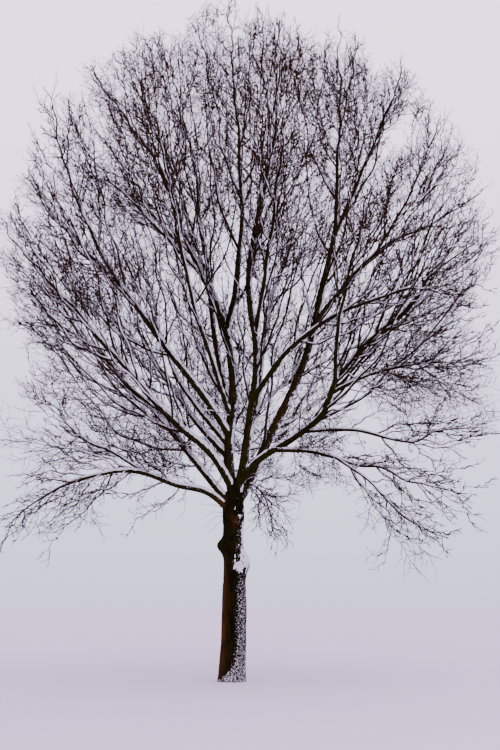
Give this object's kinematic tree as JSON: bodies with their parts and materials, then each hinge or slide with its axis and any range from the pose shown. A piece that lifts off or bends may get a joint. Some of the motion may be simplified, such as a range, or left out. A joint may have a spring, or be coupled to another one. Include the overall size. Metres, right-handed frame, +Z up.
{
  "type": "bare winter tree",
  "caption": "Open-grown broad-leaved tree in winter: short flared trunk, forked rising and drooping boughs, wide round crown of bare twigs, snow on upper sides.",
  "frame": {"origin": "middle of the flat cut under the trunk, at ground level (mount ground)", "axes": "+Z up along the trunk, +X to the right and +Y away from a viewer in front of the tree"},
  "size_m": [14.0846, 12.2361, 18.9577],
  "materials": {
    "trunk_bark": "rough fissured bark, orange brown low on the left, green algae above",
    "bough_bark": "rough dark olive bark with green algae",
    "twigs": "matt purple brown twig bark",
    "snow": "matt fresh snow"
  },
  "bodies": {
    "root": {"east_drooping": "bough_bark", "east_drooping_twigs": "twigs", "east_hanging_twigs": "twigs", "east_high": "bough_bark", "east_high_twigs": "twigs", "east_long": "bough_bark", "east_long_fork_twigs": "twigs", "east_long_twigs": "twigs", "east_low": "bough_bark", "east_low_twigs": "twigs", "east_lower": "bough_bark", "east_lower_twigs": "twigs", "east_mid": "bough_bark", "east_mid_twigs": "twigs", "east_shelf": "bough_bark", "east_shelf_twigs": "twigs", "front_east": "bough_bark", "front_east_twigs": "twigs", "front_left": "bough_bark", "front_left_twigs": "twigs", "front_right": "bough_bark", "front_right_twigs": "twigs", "leader_east": "bough_bark", "leader_east_twigs": "twigs", "leader_fork": "bough_bark", "leader_fork_twigs": "twigs", "leader_left": "bough_bark", "leader_left_twigs": "twigs", "leader_rear": "bough_bark", "leader_rear_twigs": "twigs", "leader_right": "bough_bark", "leader_right_twigs": "twigs", "leader_top": "bough_bark", "leader_top_twigs": "twigs", "rear_inner": "bough_bark", "rear_inner_twigs": "twigs", "rear_left_high": "bough_bark", "rear_left_high_twigs": "twigs", "rear_left_low": "bough_bark", "rear_left_low_twigs": "twigs", "rear_low": "bough_bark", "rear_low_twigs": "twigs", "rear_right_high": "bough_bark", "rear_right_high_twigs": "twigs", "rear_right_low": "bough_bark", "rear_right_low_twigs": "twigs", "trunk": "trunk_bark", "trunk_spray_twigs": "twigs", "west_high": "bough_bark", "west_high_fork_twigs": "twigs", "west_high_twigs": "twigs", "west_long": "bough_bark", "west_long_twigs": "twigs", "west_low": "bough_bark", "west_low_fork_twigs": "twigs", "west_low_twigs": "twigs", "west_mid": "bough_bark", "west_mid_twigs": "twigs", "west_rising": "bough_bark", "west_rising_twigs": "twigs"}
  },
  "joints": []
}
